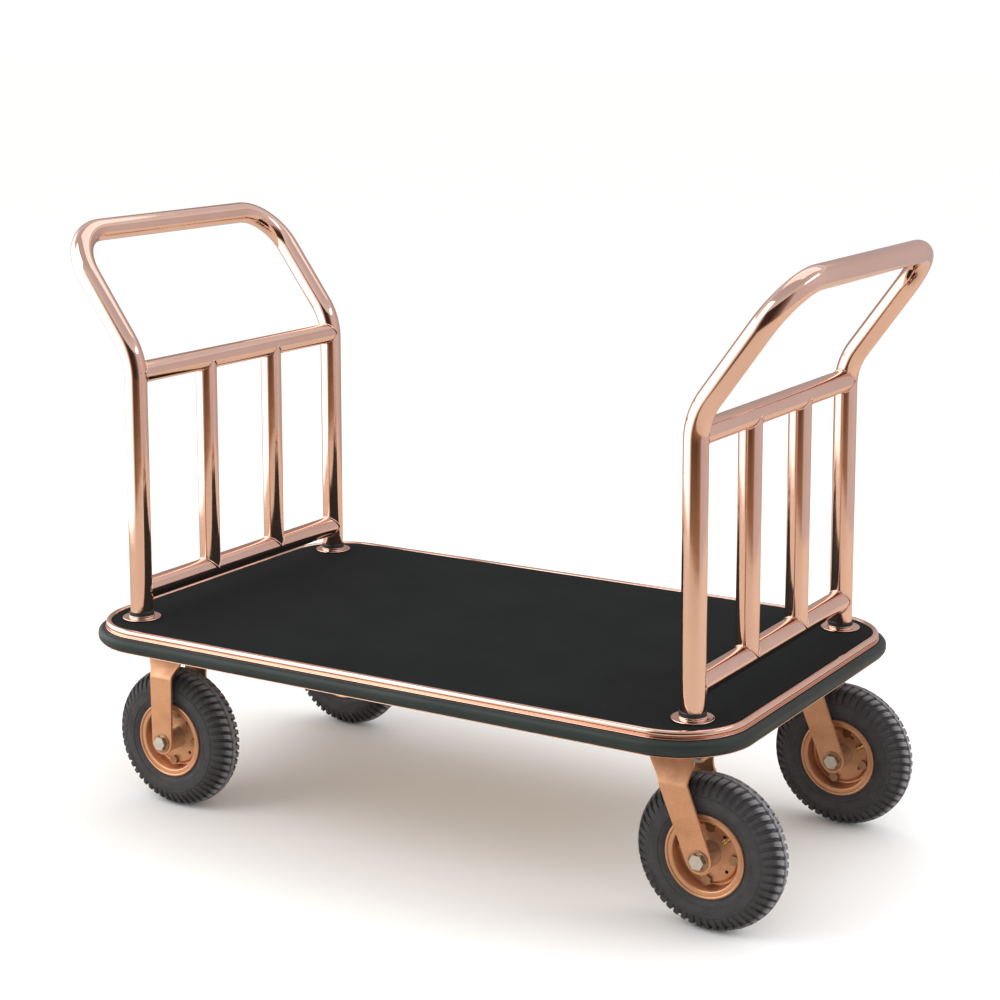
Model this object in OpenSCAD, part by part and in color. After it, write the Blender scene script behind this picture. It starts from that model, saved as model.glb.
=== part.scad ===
// Hotel luggage cart: a carpeted deck on four air-tyred casters, with a bent-tube handle
// frame at each end. The two casters at the -X end are rigid and the two at +X swivel.
// Z is up, X runs along the deck, and the origin is on the floor under the deck's middle.

/* [Deck] */
// Length of the deck over its bumper
deck_l = 1118; // [980:1:1400]
// Width of the deck over its bumper
deck_w = 680; // [640:1:860]
// Corner radius of the deck over its bumper
deck_corner_r = 116; // [90:1:150]
// Thickness of the carpet
carpet_t = 4; // [3:0.5:8]
// Thickness of the plywood panel under the carpet
panel_t = 12; // [9:1:20]
// Height of the rubber bumper strip
bumper_h = 20.5; // [17:0.5:26]
// How far the bumper stands out from the metal trim
bumper_out = 12; // [8:1:20]
// Diameter of the rolled bead along the top of the trim
bead_d = 10; // [8:1:12]
// Sheet thickness of the edge trim
trim_t = 1.5; // [1:0.1:2.5]

/* [Underframe] */
// Height of the frame's box section
frame_h = 20; // [16:1:30]
// Width of the frame's box section
frame_w = 30; // [20:1:40]
// Wall of the frame's box section
frame_wall = 2; // [1.5:0.5:3]
// How far the side rails lie in from the trim
rail_inset = 14; // [10:1:24]
// Thickness of the tapped pads that the casters bolt to
pad_t = 6; // [5:1:10]

/* [Handle frames] */
// Distance between the posts along the deck
post_span_x = 960; // [820:1:1200]
// Distance between the posts across the deck
post_span_y = 510; // [420:1:560]
// Height of the top bar's centre above the carpet
handle_h = 596; // [560:1:760]
// Height of the bend where the posts start to lean out, above the carpet
kink_h = 411; // [340:1:480]
// How far the top bar leans out past the posts
handle_lean = 135; // [90:1:180]
// Diameter of the handle tube
tube_d = 35; // [32:1:42]
// Wall of the handle tube
tube_wall = 1.5; // [1.2:0.1:3]
// Centreline radius of the top corners
corner_bend_r = 78; // [60:1:100]
// Centreline radius of the lean-out bend
kink_bend_r = 100; // [80:1:120]
// Diameter of the cross rails and balusters
rail_d = 34; // [28:1:34]
// Wall of the cross rails and balusters
rail_wall = 1.5; // [1.2:0.1:3]
// Height of the low cross rail's centre above the carpet
low_rail_h = 44; // [36:1:80]
// How far the middle cross rail's centre lies below the lean-out bend
mid_rail_drop = 24; // [0:1:60]
// Distance between the two balusters of a frame
baluster_pitch = 170; // [130:1:200]
// Diameter of the domed flange round the foot of a post
flange_d = 60; // [56:1:80]
// Height of the domed flange above the carpet
flange_h = 9; // [6:1:14]

/* [Casters] */
// Diameter of the tyre
wheel_d = 220; // [200:1:270]
// Width of the tyre
tyre_w = 62; // [54:1:66]
// Diameter over the rim's lip
rim_d = 119; // [110:1:124]
// Room between the tyre's top and the fork's crown
tyre_clear = 18; // [12:1:30]
// Steel thickness of the forks and caster plates
fork_t = 4; // [3:0.5:6]
// Width inside the fork
fork_gap = 80; // [78:1:100]
// Width of a fork leg below its neck
leg_w = 42; // [38:1:48]
// How far the wheel trails behind its swivel
trail = 50; // [40:1:60]
// Distance from the deck's middle to the swivel axes
swivel_x = 450; // [380:1:480]
// Distance from the deck's middle to the rigid casters' axles
rigid_x = 430; // [380:1:480]
// Distance between the casters across the deck
caster_span_y = 460; // [400:1:500]
// Diameter of the axle bolts
axle_d = 11.9; // [9.9:0.1:11.9]
// Length of a caster plate along the deck
plate_l = 120; // [110:1:140]
// Width of a caster plate
plate_w = 100; // [90:1:120]
// Bolt spacing of a caster plate along the deck
bolt_pitch_x = 90; // [88:1:100]
// Bolt spacing of a caster plate across the deck
bolt_pitch_y = 75; // [60:1:80]

/* [Fits] */
// Gap left for a weld between two tubes
weld_gap = 0.05; // [0.02:0.01:0.2]
// Gap between two pieces that turn against each other
run_gap = 0.3; // [0.2:0.1:0.6]
// Radial play of a shaft in its bore
shaft_play = 0.05; // [0.02:0.01:0.1]
// Radial play round a bolt or a tube that only passes through
hole_play = 0.25; // [0.1:0.05:0.5]

/* [Hidden] */
$fn = 72;

copper_mirror = [0.86, 0.58, 0.47];
copper_paint = [0.80, 0.55, 0.38];
rubber_black = [0.09, 0.11, 0.10];
carpet_black = [0.06, 0.07, 0.07];
frame_black = [0.15, 0.15, 0.16];
zinc = [0.75, 0.76, 0.78];
plywood = [0.72, 0.56, 0.38];

// Heights, built up from the floor
race_h = 12;
wheel_r = wheel_d / 2;
crown_z = wheel_d + tyre_clear + fork_t;
plate_z = crown_z + race_h;
pad_z = plate_z + fork_t;
frame_z = pad_z + pad_t;
panel_z = frame_z + frame_h;
carpet_z = panel_z + panel_t;
deck_z = carpet_z + carpet_t;

// Deck outline at the trim's outer face, and the edge profile's steps measured from it
trim_hx = deck_l / 2 - bumper_out;
trim_hy = deck_w / 2 - bumper_out;
trim_r = deck_corner_r - bumper_out;
bead_r = bead_d / 2;
back_x = -2.8 - trim_t;
bead_z = carpet_z;
band_out = 0.8;
band_z = bead_z - bead_r - 0.6 - trim_t;
bumper_z = band_z - bumper_h;
lip_z = bumper_z - trim_t;
edge_gap = 0.3;
carpet_edge = -bead_d - edge_gap;

// Handle frame
post_x = post_span_x / 2;
post_y = post_span_y / 2;
kink_z = deck_z + kink_h;
top_z = deck_z + handle_h;
lean_angle = atan2(handle_lean, top_z - kink_z);
lean_l = snap(norm([handle_lean, top_z - kink_z]));
kink_run = snap(kink_bend_r * tan(lean_angle / 2));
seam = 0.02;
low_rail_z = deck_z + low_rail_h;
mid_rail_z = kink_z - mid_rail_drop;
cope_end = 8;
flange_t = 1.8;
socket_wall = 3.5;
socket_d = tube_d + 2 * socket_wall;
screw_d = 7.8;
screw_af = 13;
screw_head_h = 5.3;

// Underframe
side_rail_y = trim_hy - rail_inset - frame_w / 2;
cross_end_x = post_x - socket_d / 2 - frame_w / 2;
cross_pitch = 68;
cross_inner_x = cross_end_x - cross_pitch;
rail_overrun = 20;
pad_l = 150;
pad_w = 120;
pad_inset = 46;
pad_x = post_x - pad_inset;

// Casters: [sign of y, x of the axle, start angle of the rim bolts]
caster_y = caster_span_y / 2;
swivel_axle_x = swivel_x + trail;
bolt_d = 10;
bolt_af = 16;
bolt_head_h = 6.4;
race_r = 28;
ball_r = 3.9;
ball_count = 20;
race_wall = 10;
race_lip_t = 1.4;
pin_head_r = 10;
pin_head_h = 5;

// Wheel profile, as distances from the axle and from the wheel's middle plane
tyre_r = tyre_w / 2;
tyre_ring_r = wheel_r - tyre_r;
tyre_wall = 6;
bead_w = 6;
bead_gap = 0.2;
rim_flange_h = 8.6;
seat_r = rim_d / 2 - rim_flange_h;
web_y = 6;
sheet_t = 2.5;
rim_lip_r = 2.2;
rim_flange_in = 8;
rim_flange_y = tyre_r - rim_flange_in;
hub_r = 17;
hub_flange_r = 28;
hub_flange_t = 3;
hub_bore_r = 10;
hub_play = 2;
hub_half = fork_gap / 2 - hub_play;
bearing_r = 14;
bearing_w = 8;
press_gap = 0.02;
rim_bolt_r = 38;
rim_bolt_d = 8;
rim_bolt_af = 13;
rim_bolt_head_h = 5.3;
rim_nut_h = 6.5;
rim_sleeve_r = 7;
rim_bolts_n = 4;
vent_d = 5;
vent_r = 34;
valve_r = 3;
valve_cap_r = 3.7;
valve_cap_x = [31, 39];
valve_y = web_y + sheet_t + 4.8;
axle_af = 19;
axle_head_h = 7.5;
axle_nut_h = 10;

function hex_r(af) = af / 2 / cos(30);
function snap(v) = round(v * 100) / 100;

// ---- shared shapes ----

module rounded_rect(hx, hy, r) {
  square([2 * (hx - r), 2 * hy], center = true);
  square([2 * hx, 2 * (hy - r)], center = true);
  for (sx = [-1, 1], sy = [-1, 1])
    translate([sx * (hx - r), sy * (hy - r)]) circle(r = r);
}

// Deck layer whose edge lies inset from the trim's outer face
module deck_layer(inset, z, t) {
  translate([0, 0, z]) linear_extrude(t)
    rounded_rect(trim_hx + inset, trim_hy + inset, trim_r + inset);
}

// Sweeps a profile, drawn with x measured outwards from the trim's face, round the deck
module round_the_deck() {
  cx = trim_hx - trim_r;
  cy = trim_hy - trim_r;
  for (s = [0, 1]) rotate([0, 0, 180 * s]) {
    translate([cx, cy, 0]) rotate([90, 0, 0]) linear_extrude(2 * cy)
      translate([trim_r, 0]) children();
    translate([-cx, cy, 0]) rotate([90, 0, 90]) linear_extrude(2 * cx)
      translate([trim_r, 0]) children();
    translate([cx, cy, 0]) rotate_extrude(angle = 90) translate([trim_r, 0]) children();
    translate([-cx, cy, 0]) rotate([0, 0, 90])
      rotate_extrude(angle = 90) translate([trim_r, 0]) children();
  }
}

module at_posts(end_signs = [-1, 1]) {
  for (sx = end_signs, sy = [-1, 1]) translate([sx * post_x, sy * post_y, 0]) children();
}

module post_holes(d, z, t) {
  at_posts() translate([0, 0, z - 1]) cylinder(d = d + 2 * hole_play, h = t + 2);
}

module box_tube(l, w, h, wall) {
  difference() {
    translate([-l / 2, -w / 2, 0]) cube([l, w, h]);
    translate([-l / 2 - 1, -w / 2 + wall, wall]) cube([l + 2, w - 2 * wall, h - 2 * wall]);
  }
}

// ---- deck ----

// Carpet, cut out round the posts' flanges
module carpet() {
  color(carpet_black) difference() {
    deck_layer(carpet_edge, carpet_z, carpet_t);
    post_holes(flange_d, carpet_z, carpet_t);
  }
}

module deck_panel() {
  color(plywood) difference() {
    deck_layer(back_x - edge_gap, panel_z, panel_t);
    post_holes(tube_d, panel_z, panel_t);
  }
}

// Rolled bead on top, a thin band over the bumper, and the back wall and lip that hold it
module edge_trim() {
  color(copper_mirror) round_the_deck() {
    difference() {
      translate([-bead_r, bead_z]) circle(r = bead_r);
      translate([-2 * bead_d, bead_z - bead_d]) square([2 * bead_d + back_x, bead_d]);
    }
    translate([back_x, lip_z]) square([trim_t, bead_z - lip_z]);
    translate([back_x, band_z]) square([band_out - back_x, trim_t]);
    translate([back_x, lip_z]) square([bumper_out - 5 - back_x, trim_t]);
  }
}

module bumper() {
  nose_r = 6;
  inner_x = back_x + trim_t;
  color(rubber_black) round_the_deck() {
    translate([inner_x, bumper_z])
      square([bumper_out - nose_r - inner_x, bumper_h]);
    translate([inner_x, bumper_z + nose_r])
      square([bumper_out - inner_x, bumper_h - 2 * nose_r]);
    for (z = [bumper_z + nose_r, bumper_z + bumper_h - nose_r])
      translate([bumper_out - nose_r, z]) circle(r = nose_r);
  }
}

// ---- underframe ----

module frame_rails() {
  color(frame_black) for (sy = [-1, 1])
    translate([0, sy * side_rail_y, frame_z])
      box_tube(2 * (trim_hx - trim_r + rail_overrun), frame_w, frame_h, frame_wall);
}

module crossmembers() {
  color(frame_black) for (x = [-cross_end_x, -cross_inner_x, 0, cross_inner_x, cross_end_x])
    translate([x, 0, frame_z]) rotate([0, 0, 90])
      box_tube(2 * side_rail_y - frame_w, frame_w, frame_h, frame_wall);
}

module caster_bolt_places() {
  for (p = [[-rigid_x, -caster_y], [-rigid_x, caster_y], [swivel_x, -caster_y], [swivel_x, caster_y]],
       bx = [-1, 1], by = [-1, 1])
    translate([p[0] + bx * bolt_pitch_x / 2, p[1] + by * bolt_pitch_y / 2, 0]) children();
}

module caster_pads() {
  color(frame_black) difference() {
    for (sx = [-1, 1], sy = [-1, 1])
      translate([sx * pad_x - pad_l / 2, sy * caster_y - pad_w / 2, pad_z])
        cube([pad_l, pad_w, pad_t]);
    caster_bolt_places() translate([0, 0, pad_z - 1])
      cylinder(r = bolt_d / 2 + shaft_play, h = pad_t + 2);
  }
}

module caster_bolts() {
  shank = fork_t + pad_t - 0.5;
  color(zinc) caster_bolt_places() {
    translate([0, 0, plate_z]) cylinder(d = bolt_d, h = shank);
    translate([0, 0, plate_z - bolt_head_h])
      cylinder(r = hex_r(bolt_af), h = bolt_head_h, $fn = 6);
  }
}

// Sleeves on the pads that take the feet of the posts
module post_sockets() {
  color(frame_black) at_posts() translate([0, 0, frame_z]) difference() {
    cylinder(d = socket_d, h = frame_h);
    translate([0, 0, -1]) cylinder(r = tube_d / 2 + shaft_play, h = frame_h + 2);
    rotate([90, 0, 0]) translate([0, frame_h / 2, 0])
      cylinder(r = screw_d / 2 + hole_play, h = socket_d);
    rotate([-90, 0, 0]) translate([0, -frame_h / 2, 0])
      cylinder(r = screw_d / 2 + hole_play, h = socket_d);
  }
}

module post_set_screws() {
  tip = tube_d / 2 + 0.2;
  head = socket_d / 2 + 0.1;
  color(zinc) for (sx = [-1, 1], sy = [-1, 1])
    translate([sx * post_x, sy * post_y, frame_z + frame_h / 2]) rotate([sy * 90, 0, 0]) {
      translate([0, 0, tip]) cylinder(d = screw_d, h = head - tip + 1);
      translate([0, 0, head]) cylinder(r = hex_r(screw_af), h = screw_head_h, $fn = 6);
    }
}

// ---- handle frames ----

// The bent shape of the +X end's tube, solid, from its feet up
module bent_rod(d, foot_z) {
  for (sy = [-1, 1]) translate([post_x, sy * post_y, 0]) {
    translate([0, 0, foot_z]) cylinder(d = d, h = kink_z - kink_run - foot_z);
    translate([kink_bend_r, 0, kink_z - kink_run]) rotate([90, 0, 0])
      rotate([0, 0, 180 - lean_angle]) rotate_extrude(angle = lean_angle)
        translate([kink_bend_r, 0]) circle(d = d);
  }
  translate([post_x, 0, kink_z]) rotate([0, lean_angle, 0]) {
    for (sy = [-1, 1]) {
      translate([0, sy * post_y, kink_run])
        cylinder(d = d, h = lean_l - kink_run - corner_bend_r);
      translate([0, sy * (post_y - corner_bend_r), lean_l - corner_bend_r]) rotate([0, 90, 0])
        rotate([0, 0, sy > 0 ? 90 : 180]) rotate_extrude(angle = 90)
          translate([corner_bend_r, 0]) circle(d = d);
    }
    translate([0, post_y - corner_bend_r, lean_l]) rotate([90, 0, 0])
      cylinder(d = d, h = 2 * (post_y - corner_bend_r));
  }
}

module tube_ring() {
  difference() {
    circle(d = tube_d);
    circle(d = tube_d - 2 * tube_wall);
  }
}

// The +X end's tube as it is made: two legs, two elbows and a bent top, butt-welded
module bent_tube() {
  for (sy = [-1, 1]) translate([post_x, sy * post_y, 0]) {
    translate([0, 0, frame_z]) linear_extrude(kink_z - kink_run - seam - frame_z) tube_ring();
    translate([kink_bend_r, 0, kink_z - kink_run]) rotate([90, 0, 0])
      rotate([0, 0, 180 - lean_angle]) rotate_extrude(angle = lean_angle)
        translate([kink_bend_r, 0]) tube_ring();
  }
  translate([post_x, 0, kink_z]) rotate([0, lean_angle, 0]) {
    for (sy = [-1, 1]) {
      translate([0, sy * post_y, kink_run + seam])
        linear_extrude(lean_l - kink_run - seam - corner_bend_r) tube_ring();
      translate([0, sy * (post_y - corner_bend_r), lean_l - corner_bend_r]) rotate([0, 90, 0])
        rotate([0, 0, sy > 0 ? 90 : 180]) rotate_extrude(angle = 90)
          translate([corner_bend_r, 0]) tube_ring();
    }
    translate([0, post_y - corner_bend_r, lean_l]) rotate([90, 0, 0])
      linear_extrude(2 * (post_y - corner_bend_r)) tube_ring();
  }
}

module at_end(sx) {
  if (sx < 0) mirror([1, 0, 0]) children();
  else children();
}

module handle(sx) {
  color(copper_mirror) at_end(sx) bent_tube();
}

module pipe(l) {
  difference() {
    cylinder(d = rail_d, h = l);
    translate([0, 0, -1]) cylinder(d = rail_d - 2 * rail_wall, h = l + 2);
  }
}

// Cross rails, coped onto the posts
module cross_rails() {
  color(copper_mirror) for (sx = [-1, 1]) at_end(sx) difference() {
    for (z = [low_rail_z, mid_rail_z])
      translate([post_x, post_y - cope_end, z]) rotate([90, 0, 0])
        pipe(2 * (post_y - cope_end));
    bent_rod(tube_d + 2 * weld_gap, frame_z);
  }
}

// Balusters, coped onto the rails above and below
module balusters() {
  color(copper_mirror) for (sx = [-1, 1], sy = [-1, 1]) difference() {
    translate([sx * post_x, sy * baluster_pitch / 2, low_rail_z + cope_end])
      pipe(mid_rail_z - low_rail_z - 2 * cope_end);
    for (z = [low_rail_z, mid_rail_z])
      translate([sx * post_x, sy * baluster_pitch / 2 + rail_d, z]) rotate([90, 0, 0])
        cylinder(d = rail_d + 2 * weld_gap, h = 2 * rail_d);
  }
}

// Domed flanges round the feet of the posts, on the panel in the carpet's cut-outs
module post_flanges() {
  flange_r = flange_d / 2;
  rise = flange_h + carpet_t;
  mouth_r = tube_d / 2 + hole_play;
  crown_r = mouth_r + 1.5;
  sink = (pow(flange_r, 2) - pow(crown_r, 2) - pow(rise, 2)) / (2 * rise);
  dome_r = sqrt(pow(flange_r, 2) + pow(sink, 2));
  color(copper_mirror) at_posts() translate([0, 0, carpet_z]) rotate_extrude() difference() {
    translate([0, -sink]) circle(r = dome_r);
    translate([0, -sink]) circle(r = dome_r - flange_t);
    translate([-2 * dome_r, -2 * dome_r - sink]) square([4 * dome_r, 2 * dome_r + sink]);
    translate([-2 * dome_r, -dome_r]) square([2 * dome_r + mouth_r, 4 * dome_r]);
  }
}

// ---- casters ----

module swivel_places() {
  for (sy = [-1, 1]) translate([swivel_x, sy * caster_y, 0]) children();
}

module caster_plate() {
  difference() {
    translate([-plate_l / 2, -plate_w / 2, plate_z]) cube([plate_l, plate_w, fork_t]);
    for (bx = [-1, 1], by = [-1, 1])
      translate([bx * bolt_pitch_x / 2, by * bolt_pitch_y / 2, plate_z - 1])
        cylinder(r = bolt_d / 2 + hole_play, h = fork_t + 2);
  }
}

module ball_groove(r) {
  rotate_extrude() translate([race_r, 0]) circle(r = r);
}

// Mounting plates with the upper ball race under them
module swivel_plates() {
  color(copper_paint) swivel_places() difference() {
    union() {
      caster_plate();
      translate([0, 0, crown_z + race_h / 2])
        cylinder(r = race_r + race_wall - 2, h = race_h / 2 + 0.1);
    }
    translate([0, 0, crown_z]) cylinder(r = axle_d / 2 + shaft_play, h = race_h + fork_t + 1);
    translate([0, 0, crown_z - 1]) cylinder(r = race_r - 8, h = race_h + 1);
    translate([0, 0, crown_z + race_h / 4]) ball_groove(ball_r + run_gap);
  }
}

module king_pins() {
  color(zinc) swivel_places() {
    translate([0, 0, crown_z - fork_t - run_gap - pin_head_h])
      cylinder(r = pin_head_r, h = pin_head_h);
    translate([0, 0, crown_z - fork_t - run_gap - 1])
      cylinder(d = axle_d, h = pad_z - crown_z + fork_t + run_gap + 1);
  }
}

module race_balls() {
  color(zinc) swivel_places() for (i = [0 : ball_count - 1])
    rotate([0, 0, i * 360 / ball_count]) translate([race_r, 0, crown_z + race_h / 4])
      sphere(r = ball_r, $fn = 24);
}

// Bent-over sheet seen along X: a flat crown with rounded shoulders and two legs
module fork_arch(top) {
  shoulder_r = 14;
  foot = 60;
  module outline(half, r, z) {
    translate([-half, foot]) square([2 * half, z - r - foot]);
    translate([-(half - r), foot]) square([2 * (half - r), z - foot]);
    for (s = [-1, 1]) translate([s * (half - r), z - r]) circle(r = r);
  }
  difference() {
    outline(fork_gap / 2 + fork_t, shoulder_r, top);
    outline(fork_gap / 2, shoulder_r - fork_t, top - fork_t);
    translate([-fork_gap / 2, foot - 1]) square([fork_gap, 10]);
  }
}

// Fork seen along Y: a wide crown, a neck, and a leg down to the axle's rounded end
module fork_side(axle_dx, crown_half, top) {
  tip_r = leg_w / 2 - 2;
  neck_drop = 38;
  shoulder_drop = 16;
  neck = [axle_dx * 0.2, top - neck_drop];
  run = [axle_dx, wheel_r] - neck;
  leg_l = norm(run);
  side = [-run[1], run[0]] / leg_l;
  polygon([
    [axle_dx, wheel_r] - side * tip_r,
    neck - side * leg_w / 2,
    [-crown_half + 12, top - shoulder_drop],
    [-crown_half, top - fork_t],
    [-crown_half, top + 1],
    [crown_half, top + 1],
    [crown_half, top - fork_t],
    [crown_half - 8, top - shoulder_drop],
    neck + side * leg_w / 2,
    [axle_dx, wheel_r] + side * tip_r
  ]);
  translate([axle_dx, wheel_r]) circle(r = tip_r);
}

module fork_sheet(axle_dx, crown_half, top) {
  wide = fork_gap / 2 + fork_t + 1;
  difference() {
    intersection() {
      translate([-150, 0, 0]) rotate([90, 0, 90]) linear_extrude(300) fork_arch(top);
      translate([0, wide, 0]) rotate([90, 0, 0]) linear_extrude(2 * wide)
        fork_side(axle_dx, crown_half, top);
    }
    translate([axle_dx, wide, wheel_r]) rotate([90, 0, 0])
      cylinder(r = axle_d / 2 + hole_play, h = 2 * wide);
  }
}

module rigid_fork(sy) {
  color(copper_paint) translate([-rigid_x, sy * caster_y, 0]) {
    fork_sheet(0, 32, plate_z);
    caster_plate();
  }
}

// Swivel fork: its crown carries the lower ball race inside a raised rim
module swivel_fork(sy) {
  crown_r = race_r + race_wall;
  color(copper_paint) translate([swivel_x, sy * caster_y, 0]) difference() {
    union() {
      fork_sheet(trail, 34, crown_z);
      translate([0, 0, crown_z - fork_t]) cylinder(r = crown_r, h = fork_t);
      translate([0, 0, crown_z - 0.1]) difference() {
        cylinder(r = crown_r, h = race_h / 2 - 1.9);
        translate([0, 0, -1]) cylinder(r = crown_r - race_lip_t, h = race_h);
      }
    }
    translate([0, 0, crown_z - 2 * fork_t]) cylinder(r = axle_d / 2 + shaft_play, h = race_h);
    translate([0, 0, crown_z + race_h / 4]) ball_groove(ball_r + run_gap);
  }
}

// ---- axles, drawn about the axle with its head at -Y ----

module on_axle(x, sy) {
  translate([x, sy * caster_y, wheel_r]) rotate([90, 0, 0]) children();
}

module axle_bolt() {
  outer = fork_gap / 2 + fork_t;
  end = outer + axle_nut_h + 3;
  translate([0, 0, -end]) cylinder(d = axle_d, h = end + outer + 1);
  translate([0, 0, outer]) cylinder(r = hex_r(axle_af), h = axle_head_h, $fn = 6);
}

module axle_nut() {
  outer = fork_gap / 2 + fork_t;
  difference() {
    translate([0, 0, -outer - axle_nut_h])
      cylinder(r = hex_r(axle_af), h = axle_nut_h, $fn = 6);
    translate([0, 0, -outer - axle_nut_h - 1])
      cylinder(r = axle_d / 2 + shaft_play, h = axle_nut_h + 2);
  }
}

// Tube between the bearings and a washer at each fork leg
module axle_spacers() {
  bore_r = axle_d / 2 + 2 * shaft_play;
  washer_t = fork_gap / 2 - hub_half - run_gap;
  half = hub_half - bearing_w - run_gap;
  difference() {
    union() {
      translate([0, 0, -half]) cylinder(r = hub_bore_r - 1.5, h = 2 * half);
      for (s = [-1, 1]) translate([0, 0, s > 0 ? hub_half + run_gap : -fork_gap / 2])
        cylinder(r = hub_bore_r - 1, h = washer_t);
    }
    translate([0, 0, -fork_gap]) cylinder(r = bore_r, h = 2 * fork_gap);
  }
}

// ---- wheel pieces, drawn about the axle with the valve's side at -Y ----

// The side walls run from the bead seats up to the round of the section
module tyre() {
  bead_in = rim_flange_y - bead_gap - bead_w;
  bead_top = tyre_ring_r - sqrt(pow(tyre_r, 2) - pow(bead_in + bead_w, 2));
  foot_r = seat_r + bead_gap / 2;
  cavity_r = tyre_r - tyre_wall;
  color(rubber_black) rotate_extrude() difference() {
    union() {
      translate([tyre_ring_r, 0]) circle(r = tyre_r);
      for (s = [-1, 1])
        translate([foot_r, s > 0 ? bead_in : -bead_in - bead_w])
          square([bead_top - foot_r, bead_w]);
    }
    translate([tyre_ring_r, 0]) circle(r = cavity_r);
    translate([0, -wheel_r]) square([foot_r, wheel_d]);
    translate([0, -bead_in]) square([bead_top, 2 * bead_in]);
  }
}

module inner_tube() {
  tube_r = tyre_r - tyre_wall - run_gap;
  color(rubber_black) rotate_extrude() translate([tyre_ring_r, 0]) difference() {
    circle(r = tube_r);
    circle(r = tube_r - 2);
  }
}

// Two pressed halves: a web, a bead seat and a flange with a rolled lip each
module rim(turn) {
  color(copper_paint) for (s = [0, 1]) mirror([0, 0, s]) difference() {
    rotate_extrude() {
      translate([hub_r + 0.2, web_y]) square([seat_r - hub_r - 0.2, sheet_t]);
      translate([seat_r - sheet_t, seam]) square([sheet_t, rim_flange_y + sheet_t - seam]);
      translate([seat_r - sheet_t, rim_flange_y])
        square([rim_d / 2 - rim_lip_r - seat_r + sheet_t, sheet_t]);
      translate([rim_d / 2 - rim_lip_r, rim_flange_y + sheet_t]) circle(r = rim_lip_r);
    }
    for (i = [0 : rim_bolts_n - 1]) rotate([0, 0, turn + i * 360 / rim_bolts_n]) {
      translate([rim_bolt_r, 0, 0]) cylinder(r = rim_bolt_d / 2 + hole_play, h = 20);
      rotate([0, 0, 180 / rim_bolts_n]) translate([vent_r, 0, 0]) cylinder(d = vent_d, h = 20);
    }
    if (s == 0) rotate([0, 0, turn + 180 / rim_bolts_n]) translate([0, 0, valve_y])
      rotate([0, 90, 0]) cylinder(r = valve_r + hole_play, h = rim_d / 2);
  }
}

// Bolt, nut and distance sleeve at each hole of the webs
module rim_bolts(turn) {
  outer = web_y + sheet_t;
  color(zinc) for (i = [0 : rim_bolts_n - 1])
    rotate([0, 0, turn + i * 360 / rim_bolts_n]) translate([rim_bolt_r, 0, 0]) {
      translate([0, 0, -outer - rim_nut_h - 1.5])
        cylinder(d = rim_bolt_d, h = 2 * outer + rim_nut_h + 2.5);
      translate([0, 0, outer]) cylinder(r = hex_r(rim_bolt_af), h = rim_bolt_head_h, $fn = 6);
      difference() {
        union() {
          translate([0, 0, -outer - rim_nut_h])
            cylinder(r = hex_r(rim_bolt_af), h = rim_nut_h, $fn = 6);
          translate([0, 0, -web_y]) cylinder(r = rim_sleeve_r, h = 2 * web_y);
        }
        translate([0, 0, -outer - rim_nut_h - 0.5])
          cylinder(r = rim_bolt_d / 2 + shaft_play, h = 2 * outer + rim_nut_h + 0.5);
      }
    }
}

module hub() {
  color(zinc) difference() {
    union() {
      translate([0, 0, -hub_half]) cylinder(r = hub_r, h = 2 * hub_half);
      for (s = [-1, 1]) translate([0, 0, s > 0 ? web_y - hub_flange_t : -web_y])
        cylinder(r = hub_flange_r, h = hub_flange_t);
    }
    translate([0, 0, -hub_half - 1]) cylinder(r = hub_bore_r, h = 2 * hub_half + 2);
    for (s = [-1, 1]) translate([0, 0, s > 0 ? hub_half - bearing_w : -hub_half - 1])
      cylinder(r = bearing_r, h = bearing_w + 1);
  }
}

module bearings() {
  color(zinc) for (s = [-1, 1]) translate([0, 0, s > 0 ? hub_half - bearing_w : -hub_half])
    difference() {
      cylinder(r = bearing_r - press_gap, h = bearing_w);
      translate([0, 0, -1]) cylinder(r = axle_d / 2 + shaft_play, h = bearing_w + 2);
    }
}

// Stem through the bead seat, up to the inner tube, with its cap towards the hub
module valve(turn) {
  tube_r = tyre_r - tyre_wall - run_gap;
  near_y = valve_y - valve_r;
  root = tyre_ring_r - sqrt(pow(tube_r, 2) - pow(near_y, 2)) - run_gap - 0.1;
  color("goldenrod") rotate([0, 0, turn + 180 / rim_bolts_n]) translate([0, 0, valve_y])
    rotate([0, 90, 0]) {
      translate([0, 0, valve_cap_x[1] - 1]) cylinder(r = valve_r, h = root - valve_cap_x[1] + 1);
      translate([0, 0, valve_cap_x[0]]) cylinder(r = valve_cap_r, h = valve_cap_x[1] - valve_cap_x[0]);
    }
}

// [axle x, side, start angle of the rim bolts]
fl = [-rigid_x, -1, 85];
rl = [-rigid_x, 1, 30];
fr = [swivel_axle_x, -1, -4];
rr = [swivel_axle_x, 1, -15];

carpet();
deck_panel();
edge_trim();
bumper();
frame_rails();
crossmembers();
caster_pads();
post_sockets();
post_set_screws();
post_flanges();
handle(-1);  // left_handle
handle(1);  // right_handle
cross_rails();
balusters();
caster_bolts();
swivel_plates();
king_pins();
race_balls();
rigid_fork(-1);  // fl_fork
rigid_fork(1);  // rl_fork
swivel_fork(-1);  // fr_fork
swivel_fork(1);  // rr_fork
color(zinc) for (sy = [-1, 1]) on_axle(-rigid_x, sy) axle_bolt();  // rigid_axle_bolts
color(zinc) for (sy = [-1, 1]) on_axle(-rigid_x, sy) axle_nut();  // rigid_axle_nuts
color(zinc) for (sy = [-1, 1]) on_axle(-rigid_x, sy) axle_spacers();  // rigid_axle_spacers
color(zinc) on_axle(fr[0], fr[1]) axle_bolt();  // fr_axle_bolt
color(zinc) on_axle(fr[0], fr[1]) axle_nut();  // fr_axle_nut
color(zinc) on_axle(fr[0], fr[1]) axle_spacers();  // fr_axle_spacers
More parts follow.
